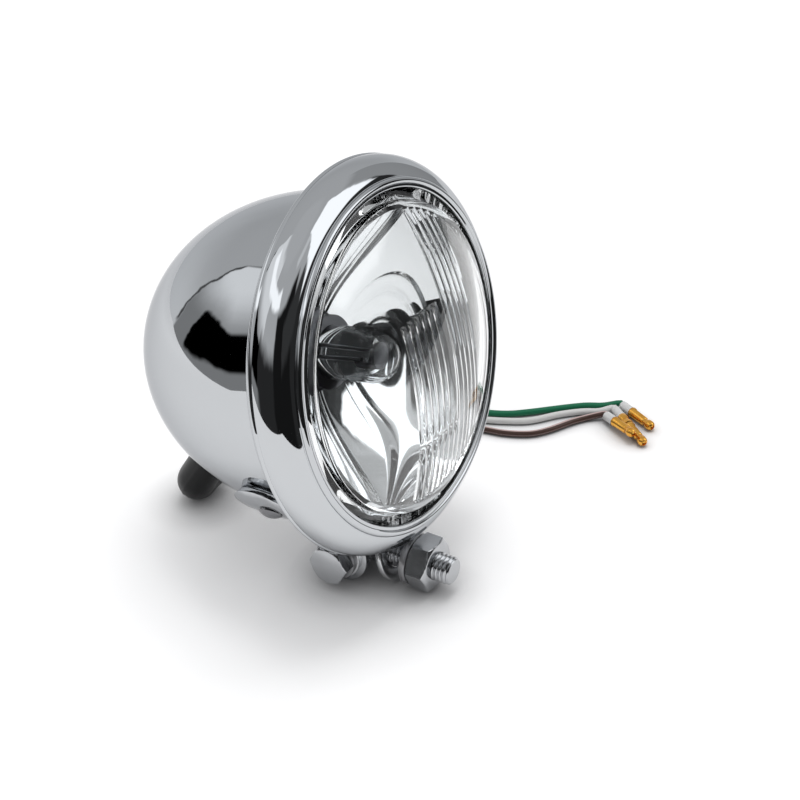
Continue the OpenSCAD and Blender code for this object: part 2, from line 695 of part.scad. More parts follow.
module bullet(e) {
    color([0.85, 0.6, 0.2]) along(mouth_of(e), e[1]) rotate_extrude() polygon(concat(
        [[0, -barrel_len], [barrel_r_in, -barrel_len], [barrel_r_in, 0]],
        e[2] > 0 ? [[bullet_r + 0.1, 0], [bullet_r + 0.1, e[2] - 0.5], [barrel_r_in, e[2] - 0.5],
            [barrel_r_in, e[2]]] : [],
        [for (p = [[bullet_r, 0], [bullet_r, 1], [bullet_r - 0.2, 1.4], [bullet_r - 0.2, 8.4],
            [bullet_r - 0.55, 8.9], [bullet_r - 0.55, 9.9], [bullet_r - 0.1, 10.5]]) p + [0, e[2]]],
        arc([bullet_r - 1.2, bullet_len - 1.1 + e[2]], 1.1, 0, 90, 5),
        [[0, bullet_len + e[2]]]));
}
module wire(near, far, e) {
    tube(concat(route(near, far, back_of(e) - 2 * e[1]), [back_of(e)]), wire_d / 2);
}
module wire_green() { color([0, 0.42, 0.27]) wire(green_route, green_ground, green_end); }
module wire_white() { color([0.92, 0.92, 0.92]) wire(white_route, white_ground, white_end); }
module wire_brown() { color([0.42, 0.28, 0.22]) wire(brown_route, brown_ground, brown_end); }
module sleeve_green() { sleeve(green_end); }
module sleeve_white() { sleeve(white_end); }
module sleeve_brown() { sleeve(brown_end); }
module bullet_green() { bullet(green_end); }
module bullet_white() { bullet(white_end); }
module bullet_brown() { bullet(brown_end); }

shell();
trim_ring();
ring_screw();
ring_nut();
lens();
lens_gasket();
reflector();
retaining_clips();
bulb_glass();
bulb_shield();
bulb_base();
bulb_clip();
bulb_socket();
dust_cap();
inner_leads();
wire_boot();
saddle();
rivets();
pivot_bolt();
pivot_lock_washer();
pivot_washer_head();
pivot_washer_nut();
pivot_nut();
mounting_stud();
stud_washer();
stud_lock_washer();
stud_nut();
wire_green();
wire_white();
wire_brown();
sleeve_green();
sleeve_white();
sleeve_brown();
bullet_green();
bullet_white();
bullet_brown();
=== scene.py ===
"""Looks of a round chrome motorcycle headlight on its swivel bracket, with three wires."""
import math
import bmesh
import bpy
import numpy as np
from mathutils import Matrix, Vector


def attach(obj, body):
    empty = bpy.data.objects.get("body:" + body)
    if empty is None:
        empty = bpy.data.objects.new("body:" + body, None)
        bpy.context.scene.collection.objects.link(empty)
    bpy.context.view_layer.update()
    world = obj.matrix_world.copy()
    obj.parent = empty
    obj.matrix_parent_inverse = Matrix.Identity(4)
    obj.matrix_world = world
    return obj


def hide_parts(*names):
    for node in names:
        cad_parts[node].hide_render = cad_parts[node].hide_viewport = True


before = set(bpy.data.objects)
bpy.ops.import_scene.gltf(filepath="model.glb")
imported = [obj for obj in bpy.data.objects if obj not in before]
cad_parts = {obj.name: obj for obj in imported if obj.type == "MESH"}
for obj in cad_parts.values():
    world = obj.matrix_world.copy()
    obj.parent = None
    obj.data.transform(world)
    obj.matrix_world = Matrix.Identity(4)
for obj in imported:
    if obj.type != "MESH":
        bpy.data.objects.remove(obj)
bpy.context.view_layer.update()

# Camera: a long lens at the photograph's angle, looking down at the lamp from its front left
CAMERA_AZIMUTH, CAMERA_ELEVATION = math.radians(-58.576), math.radians(30.276)
CAMERA_DISTANCE, CAMERA_LENS, SENSOR_WIDTH = 0.6, 78.55, 36
LOOK_AT = Vector((0.02526, -0.022, 0.05308))
camera_data = bpy.data.cameras.new("camera")
camera_data.sensor_width, camera_data.lens = SENSOR_WIDTH, CAMERA_LENS
camera_data.clip_start, camera_data.clip_end = 0.01, 20
camera = bpy.data.objects.new("camera", camera_data)
bpy.context.scene.collection.objects.link(camera)
bpy.context.scene.camera = camera
towards = Vector((math.sin(CAMERA_AZIMUTH) * math.cos(CAMERA_ELEVATION),
                  -math.cos(CAMERA_AZIMUTH) * math.cos(CAMERA_ELEVATION),
                  math.sin(CAMERA_ELEVATION)))
camera.location = LOOK_AT + CAMERA_DISTANCE * towards
camera.rotation_mode = "QUATERNION"
camera.rotation_quaternion = (-towards).to_track_quat("-Z", "Y")


# The three free wires: PVC insulation over a stranded core, out of the rubber boot and along
# the ground to their bullet terminals. The routes are the solids' own, in metres.
WIRE_D, WIRE_SIDES, ROUTE_POINTS = 0.0026, 16, 110
BOOT_MOUTH = np.array([0.014, 0.05171, 0.007])
GROUND = WIRE_D / 2 + 0.00002
BULLET, BARE_BARREL, SLEEVE = 0.0135, 0.007, 0.006
# Where the painted highlight lies round a wire, and its soft and full half widths
HIGHLIGHT_AT, HIGHLIGHT_EDGE, HIGHLIGHT_CORE = 0.28, 0.09, 0.06


class Sock:
    """A socket of a material's nodes, for writing its sums as plain expressions."""

    def __init__(self, paint, socket):
        self.paint, self.socket = paint, socket

    def _do(self, operation, a, b):
        """A Math node on two values or sockets."""
        return self.paint.node("ShaderNodeMath", {"operation": operation}, {0: a, 1: b})

    def __add__(self, other):
        return self._do("ADD", self, other)

    def __radd__(self, other):
        return self._do("ADD", other, self)

    def __sub__(self, other):
        return self._do("SUBTRACT", self, other)

    def __rsub__(self, other):
        return self._do("SUBTRACT", other, self)

    def __mul__(self, other):
        return self._do("MULTIPLY", self, other)

    def __rmul__(self, other):
        return self._do("MULTIPLY", other, self)


class Paint:
    """A material whose shader is set up by named values and by expressions on sockets."""

    def __init__(self, name, **fixed):
        self.material = bpy.data.materials.new(name)
        self.material.use_nodes = True
        self.nodes, self.links = self.material.node_tree.nodes, self.material.node_tree.links
        self.shader = self.nodes["Principled BSDF"]
        for key, value in fixed.items():
            self.put(key.replace("_", " "), value)

    def node(self, kind, settings=None, inputs=None, out=0):
        """Adds a node, sets it up, fills or links its sockets and gives one of its outputs."""
        made = self.nodes.new(kind)
        for key, value in (settings or {}).items():
            setattr(made, key, value)
        for key, value in (inputs or {}).items():
            self._fill(made.inputs[key], value)
        return Sock(self, made.outputs[out])

    def put(self, name, value):
        """Gives a socket of the main shader a value or a link."""
        self._fill(self.shader.inputs[name], value)

    def _fill(self, socket, value):
        """Links an expression to a socket, or writes a plain value or colour on it."""
        if isinstance(value, Sock):
            self.links.new(value.socket, socket)
        elif isinstance(value, tuple) and len(value) == 3 and socket.type == "RGBA":
            socket.default_value = (*value, 1)
        else:
            socket.default_value = value

    def place(self):
        """Where the point is on its piece, in metres."""
        return self.node("ShaderNodeTexCoord", out="Object")

    def noise(self, scale, detail=3):
        """Soft random patches, scale to the metre."""
        return self.node("ShaderNodeTexNoise", {},
                         {"Vector": self.place(), "Scale": scale, "Detail": detail})

    def ramp(self, value, start, end, low=0.0, high=1.0):
        """Smooth step from low, where value is start, to high, where it is end."""
        return self.node("ShaderNodeMapRange", {"interpolation_type": "SMOOTHSTEP"},
                         {0: value, 1: start, 2: end, 3: low, 4: high})

    def band(self, value, start, end, soft):
        """One between start and end, and zero outside them, with soft edges."""
        return self.ramp(value, start - soft, start + soft) * self.ramp(value, end + soft, end - soft)

    def between(self, share, low, high):
        """The value that lies share of the way from low to high."""
        return share * (high - low) + low

    def blend(self, share, a, b):
        """Colour a where share is 0, b where it is 1."""
        return self.node("ShaderNodeMix", {"data_type": "RGBA"}, {0: share, 6: a, 7: b}, out=2)

    def bump(self, height, strength, distance):
        """Tilts the surface by a height pattern; distance is its depth in metres."""
        self.put("Normal", self.node("ShaderNodeBump", {},
                                     {"Height": height, "Strength": strength, "Distance": distance}))


def grid_faces(rows, columns, around, loop):
    """Quads between neighbouring points of a grid, wrapped across the columns if around is set
    and from the last row to the first if loop is set."""
    i = np.arange(rows if loop else rows - 1)[:, None]
    j = np.arange(columns if around else columns - 1)[None, :]
    up, right = (i + 1) % rows, (j + 1) % columns
    corners = [i * columns + j, i * columns + right, up * columns + right, up * columns + j]
    return np.stack([np.broadcast_to(c, np.broadcast_shapes(i.shape, j.shape)) for c in corners],
                    axis=-1).reshape(-1, 4)


def piece(name, patches, material, body, crease=35, uv=None):
    """Makes one mesh object of grids: each patch is (points, around, loop), with its points as
    rows by columns by 3, in metres. Poles and seams are merged and normals turned outwards."""
    points, faces, start = [], [], 0
    for grid, around, loop in patches:
        rows, columns = grid.shape[:2]
        points.append(grid.reshape(-1, 3))
        faces.append(grid_faces(rows, columns, around, loop) + start)
        start += rows * columns
    mesh = bpy.data.meshes.new(name)
    mesh.from_pydata(np.concatenate(points).tolist(), [], np.concatenate(faces).tolist())
    if uv is not None:
        layer = mesh.uv_layers.new(name="UVMap")
        corner = np.empty(len(mesh.loops), dtype=int)
        mesh.loops.foreach_get("vertex_index", corner)
        layer.data.foreach_set("uv", uv[corner].astype(np.float32).ravel())
    work = bmesh.new()
    work.from_mesh(mesh)
    bmesh.ops.remove_doubles(work, verts=work.verts, dist=2e-7)
    bmesh.ops.recalc_face_normals(work, faces=work.faces)
    work.to_mesh(mesh)
    work.free()
    mesh.polygons.foreach_set("use_smooth", np.ones(len(mesh.polygons), dtype=bool))
    mesh.set_sharp_from_angle(angle=math.radians(crease))
    mesh.materials.append(material)
    made = bpy.data.objects.new(name, mesh)
    bpy.context.scene.collection.objects.link(made)
    if body:
        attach(made, body)
    return made


def smooth_route(points, count):
    """Points along a Catmull-Rom curve through the route: in each span, the cubic whose slope at
    either end is half the chord between that end's neighbours; then evenly spaced by length."""
    p = np.vstack([2 * points[0] - points[1], points, 2 * points[-1] - points[-2]])
    steps_per_span = 24
    t = np.linspace(0, 1, steps_per_span, endpoint=False)[None, :, None]
    a, b, c, d = (p[k:len(p) - 3 + k, None, :] for k in range(4))
    curve = 0.5 * (2 * b + (c - a) * t + (2 * a - 5 * b + 4 * c - d) * t ** 2
                   + (3 * b - a - 3 * c + d) * t ** 3)
    curve = np.vstack([curve.reshape(-1, 3), points[-1]])
    run = np.concatenate([[0], np.cumsum(np.linalg.norm(np.diff(curve, axis=0), axis=1))])
    even = np.linspace(0, run[-1], count)
    return np.stack([np.interp(even, run, curve[:, k]) for k in range(3)], axis=1), run[-1]


def sweep(path, radius, sides):
    """A tube round a path: each ring stands square to the path's slope, with its first point to
    the side and its second axis as near to straight up as that allows."""
    slope = np.gradient(path, axis=0)
    slope /= np.linalg.norm(slope, axis=1, keepdims=True)
    side = np.cross(slope, [0, 0, 1.0])
    side /= np.linalg.norm(side, axis=1, keepdims=True)
    up = np.cross(side, slope)
    turn = np.linspace(0, 2 * np.pi, sides, endpoint=False)
    return path[:, None] + radius * (np.cos(turn)[None, :, None] * side[:, None]
                                     + np.sin(turn)[None, :, None] * up[:, None])


def closed_ends(grid):
    """The grid with its first and last rows drawn in to their middles."""
    ends = [np.repeat(grid[k].mean(axis=0)[None, None], grid.shape[1], axis=1) for k in (0, -1)]
    return np.concatenate([ends[0], grid, ends[1]])


def insulation(name, colour, highlight=None):
    """PVC skin with a slight sheen; where a second colour is given, a pale band is painted along the top as
    a painted highlight.
    """
    paint = Paint(name, Roughness=0.34, Specular_IOR_Level=0.5)
    mottle = paint.noise(900, 2)
    base = paint.blend(mottle, tuple(0.9 * c for c in colour), colour)
    # A pale band painted along the top of the wire, where the light falls: a painted highlight
    if highlight:
        uv = paint.node("ShaderNodeUVMap", {"uv_map": "UVMap"})
        across = paint.node("ShaderNodeSeparateXYZ", {}, {0: uv}, out=0)
        off = paint.node("ShaderNodeMath", {"operation": "ABSOLUTE"}, {0: across - HIGHLIGHT_AT})
        share = paint.node("ShaderNodeMapRange", {},
                           {0: off, 1: HIGHLIGHT_EDGE, 2: HIGHLIGHT_CORE, 3: 0.0, 4: 1.0})
        base = paint.blend(share, base, highlight)
    paint.put("Base Color", base)
    paint.put("Roughness", paint.between(paint.noise(1500, 2), 0.28, 0.42))
    return paint.material


def terminal(mouth, tip, bare):
    """A wire's end: the point of its tip, the way it points, and its bare barrel's length."""
    mouth, tip = np.array(mouth), np.array(tip)
    return tip, (tip - mouth) / np.linalg.norm(tip - mouth), bare


# Each terminal lies with its mouth and its tip at these points; each wire leaves the boot through
# NEAR, measured from the boot's mouth, and lies on the ground through ALONG
ENDS = {"brown": terminal((0.1284, -0.057, 0.0032), (0.1204, -0.0693, 0.0049), 0),
        "white": terminal((0.1335, -0.0587, 0.0021), (0.1206, -0.074, 0.0021), BARE_BARREL),
        "green": terminal((0.1397, -0.0599, 0.0021), (0.1332, -0.0717, 0.0021), 0)}
NEAR = {"brown": [(0, -0.0017, 0.0009), (0.008, -0.0019, 0.0003), (0.018, -0.0036, -0.0029)],
        "white": [(0, 0, -0.002), (0.009, 0, -0.0026), (0.018, -0.0006, -0.0044)],
        "green": [(0, 0.0017, 0.0009), (0.009, 0.0022, 0.0004), (0.02, 0.003, -0.0032)]}
ALONG = {"brown": [(0.046, 0.04), (0.06, 0.034), (0.072, 0.024), (0.082, 0.012), (0.09, 0.),
                   (0.096, -0.009), (0.0985, -0.015), (0.1005, -0.024), (0.105, -0.0325),
                   (0.1115, -0.0375), (0.121, -0.042), (0.1275, -0.046)],
         "white": [(0.044, 0.047), (0.06, 0.044), (0.074, 0.036), (0.086, 0.024), (0.096, 0.009),
                   (0.103, -0.006), (0.105, -0.012), (0.109, -0.0205), (0.114, -0.028),
                   (0.124, -0.0355), (0.131, -0.0425), (0.1346, -0.048)],
         "green": [(0.046, 0.0525), (0.062, 0.051), (0.078, 0.044), (0.091, 0.032), (0.101, 0.016),
                   (0.107, 0.), (0.11, -0.0095), (0.114, -0.018), (0.12, -0.025),
                   (0.1285, -0.0335), (0.1355, -0.041), (0.1395, -0.0475)]}
# The brown wire's pale second colour is a painted highlight along its top
SKINS = {"brown": insulation("brown_pvc", (0.06, 0.026, 0.018), (0.62, 0.46, 0.44)),
         "white": insulation("white_pvc", (0.84, 0.84, 0.83)),
         "green": insulation("green_pvc", (0.0, 0.17, 0.075))}

# The wires' ends: bullets turned from brass and crimped on, with a translucent PVC sleeve pushed
# over each crimp. The white wire's bullet stands further out of its sleeve.
sleeve_paint = Paint("clear_sleeve", Base_Color=(0.93, 0.935, 0.93), Roughness=0.25,
                     Transmission_Weight=0.2, IOR=1.45)
sleeve_paint.bump(sleeve_paint.noise(700, 2), 0.3, 0.0002)
brass_paint = Paint("bullet_brass", Metallic=1.0, Roughness=0.24)
brass_paint.put("Base Color", brass_paint.blend(brass_paint.noise(450, 3), (0.72, 0.29, 0.03),
                                                (0.93, 0.55, 0.12)))
brass_paint.put("Roughness", brass_paint.between(brass_paint.noise(1100, 3), 0.18, 0.36))


def turned(profile, start, way, sides=40):
    """A turned piece: the profile's (radius, station) pairs carried round a line from start."""
    side = np.cross(way, [0, 0, 1.0])
    side /= np.linalg.norm(side)
    up = np.cross(side, way)
    turn = np.linspace(0, 2 * np.pi, sides, endpoint=False)
    r, h = np.array(profile, float).T
    return (start + h[:, None, None] * way + r[:, None, None]
            * (np.cos(turn)[None, :, None] * side + np.sin(turn)[None, :, None] * up))


for tint in ("green", "white", "brown"):
    tip, way, bare = ENDS[tint]
    mouth = tip - (BULLET + bare) * way
    back = mouth - SLEEVE * way
    route = np.array([BOOT_MOUTH + p for p in NEAR[tint]]
                     + [(x, y, GROUND) for x, y in ALONG[tint]] + [back - 0.002 * way, back])
    path, length = smooth_route(route, ROUTE_POINTS)
    tube = closed_ends(sweep(path, WIRE_D / 2, WIRE_SIDES))
    around = np.tile(np.linspace(0, 1, WIRE_SIDES, endpoint=False), len(tube))
    lengthwise = np.repeat(np.linspace(0, 1, len(tube)), WIRE_SIDES)
    wire = piece("wire_" + tint + "_skin", [(tube, True, False)], SKINS[tint], "lamp",
                 uv=np.stack([around, lengthwise], axis=1))
    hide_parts("wire_" + tint)

    sleeve = piece("sleeve_" + tint + "_tube", [(turned(
        [(0.00138, 0), (0.0018, 0), (0.0019, 0.0002), (0.00185, 0.003), (0.0019, SLEEVE - 0.0002),
         (0.0018, SLEEVE), (0.00142, SLEEVE), (0.00142, SLEEVE - 0.0035)], back, way), True, True)],
        sleeve_paint.material, "lamp", crease=50)
    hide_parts("sleeve_" + tint)

    nose = np.array([(0.0020, 0), (0.00205, 0.0004), (0.00205, 0.0012), (0.0018, 0.0015),
                     (0.00178, 0.0084), (0.00172, 0.0086), (0.00146, 0.0089), (0.00145, 0.0098),
                     (0.00172, 0.0103), (0.0019, 0.0106), (0.00192, 0.0118), (0.0018, 0.0126),
                     (0.0015, 0.0131), (0.00095, BULLET), (0.0009, 0.0128), (0, 0.0122)])
    nose[:, 1] += bare
    barrel = [(0, -0.0035), (0.0013, -0.0035), (0.0013, 0), (0.0019, 0), (0.0021, 0.0003)]
    if bare:
        barrel += [(0.0021, 0.0022), (0.0018, 0.003), (0.0018, 0.0042), (0.0021, 0.005),
                   (0.0021, bare - 0.0006), (0.0015, bare - 0.0002)]
    bullet = piece("bullet_" + tint + "_brass", [(turned(barrel + nose.tolist(), mouth, way), True, False)],
                   brass_paint.material, "lamp", crease=40)
    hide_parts("bullet_" + tint)


# The bullet-shaped shell: pressed from sheet steel, polished and chromed, with a mouth that
# flares out to carry the trim ring. The lamp rests nose-up by TILT about its pivot bolt, whose
# place is given in the shared frame in metres, and on the lamp in millimetres.
MM = 0.001
TILT = math.radians(12.0)
PIVOT = np.array([0, -0.02071, 0.010])
PIVOT_ON_LAMP = np.array([0, 36.0, -71.0])


def on_lamp(x, y, z):
    """Millimetres on the lamp, measured back and up from the middle of the glass's edge, as
    metres in the shared frame: turned nose-up about the pivot by the resting tilt."""
    x, y, z = np.broadcast_arrays(x, y, z)
    y, z = y - PIVOT_ON_LAMP[1], z - PIVOT_ON_LAMP[2]
    turned_y = y * math.cos(TILT) + z * math.sin(TILT)
    turned_z = z * math.cos(TILT) - y * math.sin(TILT)
    return np.stack([x, turned_y, turned_z], axis=-1) * MM + PIVOT


def revolve(profile, sides):
    """A (radius, station) profile in millimetres carried round the lamp's axis."""
    r, h = np.array(profile, float).T
    turn = np.linspace(0, 2 * np.pi, sides, endpoint=False)
    return on_lamp(r[:, None] * np.cos(turn), h[:, None], r[:, None] * np.sin(turn))


def arc(centre, radius, start, end, count):
    """Points of a circle's arc between two angles in degrees."""
    a = np.radians(np.linspace(start, end, count))
    return np.stack([centre[0] + radius * np.cos(a), centre[1] + radius * np.sin(a)], axis=1)


def chrome(name, colour, low, high, waviness=0.06):
    """Chrome plate: a mirror with faint waves of the pressed sheet and breath-like smudges."""
    paint = Paint(name, Metallic=1.0, Specular_Tint=(0.66, 0.665, 0.675))
    paint.put("Base Color", paint.blend(paint.noise(30, 2), tuple(0.97 * c for c in colour), colour))
    paint.put("Roughness", paint.between(paint.noise(60, 4), low, high))
    paint.bump(paint.noise(24, 1), waviness, 0.0004)
    return paint.material


SHELL_R, TAIL_Y, TAIL, FULLNESS, SHEET = 53.35, 30.3, 66.75, 2.06, 1.2
MOUTH_R, MOUTH_FRONT, MOUTH_BACK, FLARE_R, MOUTH_ROUND = 62.8, 9.5, 17.5, 5.0, 1.6
MOUTH_CORNER = (MOUTH_R - MOUTH_ROUND, MOUTH_BACK - MOUTH_ROUND)
FLARE_MIDDLE = (SHELL_R + FLARE_R, MOUTH_BACK + FLARE_R)
LAMP_SIDES = 320


def tail(share, inwards):
    """The tail's radius and station at a share of its length: the axial share and the radial
    share, each to its own power, add up to one."""
    r = (SHELL_R - inwards) * np.sqrt(np.clip(1 - share ** FULLNESS, 0, None))
    return np.stack([r, TAIL_Y + (TAIL - inwards) * share], axis=1)


# Shares of the tail's length, closer together towards its end, where it curves most
share = 1 - (1 - np.linspace(0, 1, 140)) ** 1.8
outside = np.vstack([[(MOUTH_R, MOUTH_FRONT)], arc(MOUTH_CORNER, MOUTH_ROUND, 0, 90, 9),
                     arc(FLARE_MIDDLE, FLARE_R, 270, 180, 24), tail(share, 0)])
inside = np.vstack([[(MOUTH_R - SHEET, MOUTH_FRONT)], arc(MOUTH_CORNER, MOUTH_ROUND - SHEET, 0, 90, 5),
                    arc(FLARE_MIDDLE, FLARE_R + SHEET, 270, 180, 16),
                    tail(share[::3], SHEET), [(0, TAIL_Y + TAIL - SHEET)]])
shell = piece("shell_chrome", [(revolve(np.vstack([outside[::-1], inside]), LAMP_SIDES), True, False)],
              chrome("shell_chrome", (0.545, 0.56, 0.575), 0.02, 0.05), "lamp")
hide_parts("shell")

# The trim ring: a sheet brass rim rolled over a form, chromed, with a bead along its rear edge
# and a stepped bead and a folded lip round the glass
ROLL, ROLL_R, RING_SHEET = (55.4, 11.6), 9.2, 1
EDGE_BEAD, EDGE_BEAD_R = (63.95, 14.05), 0.9
STEP_BEAD, STEP_BEAD_R = (56.3, 2.2), 1.2
LIP, LIP_R, LIP_TOP, LIP_ROOT = (54.5, 2.1), 0.5, (54.6, 1.6), (56.6, 2.6)
ring_profile = np.vstack([arc(EDGE_BEAD, EDGE_BEAD_R, 190, -30, 20), arc(ROLL, ROLL_R, 10, -76, 90),
                          arc(STEP_BEAD, STEP_BEAD_R, 12, -150, 26), [LIP_TOP],
                          arc(LIP, LIP_R, 270, 90, 9), [LIP_ROOT],
                          arc(ROLL, ROLL_R - RING_SHEET, -80, 14, 40)])
ring = piece("trim_ring_chrome", [(revolve(ring_profile, LAMP_SIDES), True, True)],
             chrome("ring_chrome", (0.56, 0.575, 0.59), 0.015, 0.04, 0.04), "lamp")
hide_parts("trim_ring")

# The lens: pressed clear glass, smooth and domed outside, with rows of vertical flutes inside.
# Its flat rim lies behind the trim ring's lip, where spring clips hold it against a gasket.
DOME_R, CROWN, GLASS, RIM_R = 50.0, 11.0, 4.0, 56.0
RIM_FRONT, RIM_BACK, RIM_BEVEL = 3.6, 7.1, 0.3
SPHERE = (DOME_R ** 2 + CROWN ** 2) / (2 * CROWN)
SPHERE_Y = SPHERE - CROWN
INNER_R = DOME_R - 3.0
FLUTE_R, FLUTE_PITCH, FLUTE_OUT, FLUTE_FADE = 1.5, 3.4, 0.3, 2
# A row of flutes: its first and last flute, counted from the middle, its lower and its upper end
FLUTE_ROWS = [(4, 8, -60, 60), (-3, 2, -22, 14), (-3, 3, -60, -28)]
LENS_SIDES = 800


def across_disc(radius, columns, rows):
    """Points over a disc in columns of constant x: the columns stand at the cosines of even
    angles, so their ends are evenly spaced round the edge."""
    a = np.linspace(0, np.pi, columns)[:, None]
    v = np.linspace(-1, 1, rows)[None, :]
    return radius * np.cos(a) + 0 * v, radius * np.sin(a) * np.sin(v * np.pi / 2)


def inner_face(x, z):
    """Station of the glass's inner face: a sphere, with each flute a round rib that bends with
    it and fades out at the ends of its row."""
    r = SPHERE - GLASS
    rib = np.zeros_like(x)
    for first, last, low, high in FLUTE_ROWS:
        for k in range(first, last + 1):
            d = x - k * FLUTE_PITCH
            bulge = np.sqrt(np.clip(FLUTE_R ** 2 - d ** 2, 0, None)) - FLUTE_OUT
            ends = np.clip((z - low) / FLUTE_FADE, 0, 1) * np.clip((high - z) / FLUTE_FADE, 0, 1)
            rib = np.maximum(rib, np.clip(bulge, 0, None) * ends)
    return SPHERE_Y - np.sqrt((r - rib) ** 2 - x ** 2 - z ** 2)


inner_x, inner_z = across_disc(INNER_R, LENS_SIDES // 2 + 1, 61)
near_edge = np.clip(INNER_R - np.hypot(inner_x, inner_z), 0, 1)
inner_y = inner_face(inner_x, inner_z)
plain_y = SPHERE_Y - np.sqrt((SPHERE - GLASS) ** 2 - inner_x ** 2 - inner_z ** 2)
inner_grid = on_lamp(inner_x, np.minimum(plain_y + (inner_y - plain_y) * near_edge, RIM_BACK), inner_z)
lens_turn = np.linspace(0, 2 * np.pi, LENS_SIDES, endpoint=False)
inner_edge_y = SPHERE_Y - math.sqrt((SPHERE - GLASS) ** 2 - INNER_R ** 2)
dome_r = DOME_R * np.sin(np.linspace(0, np.pi / 2, 26))
outer_profile = np.vstack([np.stack([dome_r, SPHERE_Y - np.sqrt(SPHERE ** 2 - dome_r ** 2)], axis=1),
                           arc((DOME_R - 0.4, 0.45), 0.45, -60, 0, 5)[1:] + (0.0, 0.1),
                           [(DOME_R + 0.05, RIM_FRONT - RIM_BEVEL), (DOME_R + 0.4, RIM_FRONT),
                            (RIM_R - RIM_BEVEL, RIM_FRONT), (RIM_R, RIM_FRONT + RIM_BEVEL),
                            (RIM_R, RIM_BACK - RIM_BEVEL), (RIM_R - RIM_BEVEL, RIM_BACK),
                            (INNER_R, RIM_BACK), (INNER_R, inner_edge_y)]])
outer_grid = on_lamp(outer_profile[:, :1] * np.cos(lens_turn), outer_profile[:, 1:],
                     outer_profile[:, :1] * np.sin(lens_turn))
glass_paint = Paint("lens_glass", Base_Color=(0.97, 0.985, 0.985), Roughness=0.0,
                    Transmission_Weight=1.0, IOR=1.5)
lens = piece("lens_fluted", [(outer_grid, True, False), (inner_grid, False, False)],
             glass_paint.material, "lamp", crease=50)
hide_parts("lens")

# The reflector: a bowl spun from sheet steel, lacquered and vacuum coated with aluminium. Its
# flange lies against the back of the glass's rim, and its neck holds the bulb.
FOCAL, NECK_R, MIRROR_R, NECK_BACK, BOWL_SHEET, FLANGE = 22.0, 12.5, 50.5, 40.0, 0.8, 7
BOWL_SIDES = 256
MIRROR_Y = RIM_BACK + 0.5 + MIRROR_R ** 2 / (4 * FOCAL)
bowl_r = np.linspace(NECK_R, MIRROR_R, 90)
bowl = np.stack([bowl_r, MIRROR_Y - bowl_r ** 2 / (4 * FOCAL)], axis=1)
bowl_back = np.stack([bowl_r, MIRROR_Y - bowl_r ** 2 / (4 * FOCAL) + BOWL_SHEET], axis=1)
bowl_profile = np.vstack([bowl, [(MIRROR_R, RIM_BACK), (MIRROR_R + FLANGE, RIM_BACK),
                                 (MIRROR_R + FLANGE, RIM_BACK + 1), (MIRROR_R + 1, RIM_BACK + 1)],
                          bowl_back[::-1][:-4],
                          [(NECK_R + 1, NECK_BACK), (NECK_R, NECK_BACK)]])
mirror_paint = Paint("reflector_coat", Metallic=1.0)
mirror_paint.put("Base Color", mirror_paint.blend(mirror_paint.noise(40, 2), (0.88, 0.89, 0.9),
                                                  (0.93, 0.93, 0.94)))
mirror_paint.put("Roughness", mirror_paint.between(mirror_paint.noise(80, 3), 0.015, 0.04))
reflector = piece("reflector_bowl", [(revolve(bowl_profile, BOWL_SIDES), True, True)],
                  mirror_paint.material, "lamp")
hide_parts("reflector")


# Parts that keep the solids' shapes, from the ring's screw to the stud's washers: pressed, coiled
# or moulded, in plated steel, glass, plastic and rubber. Each gets a finish, and most get soft edges.
def dress(node, material, bevel=0.00012):
    """Gives a CAD node a material, with smooth faces and, unless bevel is zero, a small rounding on its
    edges.
    """
    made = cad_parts[node]
    made.data.polygons.foreach_set("use_smooth", np.ones(len(made.data.polygons), dtype=bool))
    made.data.materials.clear()
    made.data.materials.append(material)
    made.modifiers.new("weld", "WELD").merge_threshold = 1e-6
    if bevel:
        soft = made.modifiers.new("soft", "BEVEL")
        soft.width, soft.segments, soft.limit_method = bevel, 2, "ANGLE"
        soft.angle_limit = math.radians(35)
        soft.harden_normals = True


def steel(name, colour, low, high, grain=300):
    """Plated steel: bright, with a fine grain left by its tooling."""
    paint = Paint(name, Metallic=1.0)
    paint.put("Base Color", paint.blend(paint.noise(160, 4), tuple(0.82 * c for c in colour), colour))
    paint.put("Roughness", paint.between(paint.noise(grain, 4), low, high))
    paint.bump(paint.noise(grain * 4, 3), 0.12, 0.0001)
    return paint.material


def rubber(name, colour, roughness, sheen=0.5):
    """Moulded rubber with a fine dull skin."""
    paint = Paint(name, Roughness=roughness, Specular_IOR_Level=sheen)
    paint.put("Base Color", paint.blend(paint.noise(200, 3), tuple(0.6 * c for c in colour), colour))
    paint.put("Roughness", paint.between(paint.noise(500, 3), roughness - 0.08, roughness + 0.08))
    paint.bump(paint.noise(1800, 3), 0.15, 0.0001)
    return paint.material


plated = steel("plated_steel", (0.78, 0.79, 0.8), 0.16, 0.3)
dull = steel("dull_steel", (0.4, 0.4, 0.41), 0.3, 0.5)
spring = steel("spring_steel", (0.62, 0.63, 0.65), 0.2, 0.35)
dress("ring_screw", plated)
dress("ring_nut", dull)
dress("lens_gasket", rubber("gasket_rubber", (0.03, 0.03, 0.03), 0.7))
dress("retaining_clips", spring)
bulb_paint = Paint("bulb_glass", Base_Color=(0.96, 0.97, 0.98), Roughness=0.0,
                   Transmission_Weight=1.0, IOR=1.45)
dress("bulb_glass", bulb_paint.material, 0)
dress("bulb_shield", steel("shield_steel", (0.2, 0.2, 0.21), 0.3, 0.45))
dress("bulb_base", steel("base_steel", (0.2, 0.2, 0.21), 0.25, 0.4))
dress("bulb_clip", spring, 0)
dress("bulb_socket", rubber("socket_plastic", (0.02, 0.02, 0.02), 0.5))
dress("dust_cap", rubber("cap_rubber", (0.025, 0.025, 0.025), 0.65))
dress("inner_leads", insulation("lead_pvc", (0.4, 0.4, 0.38)), 0)
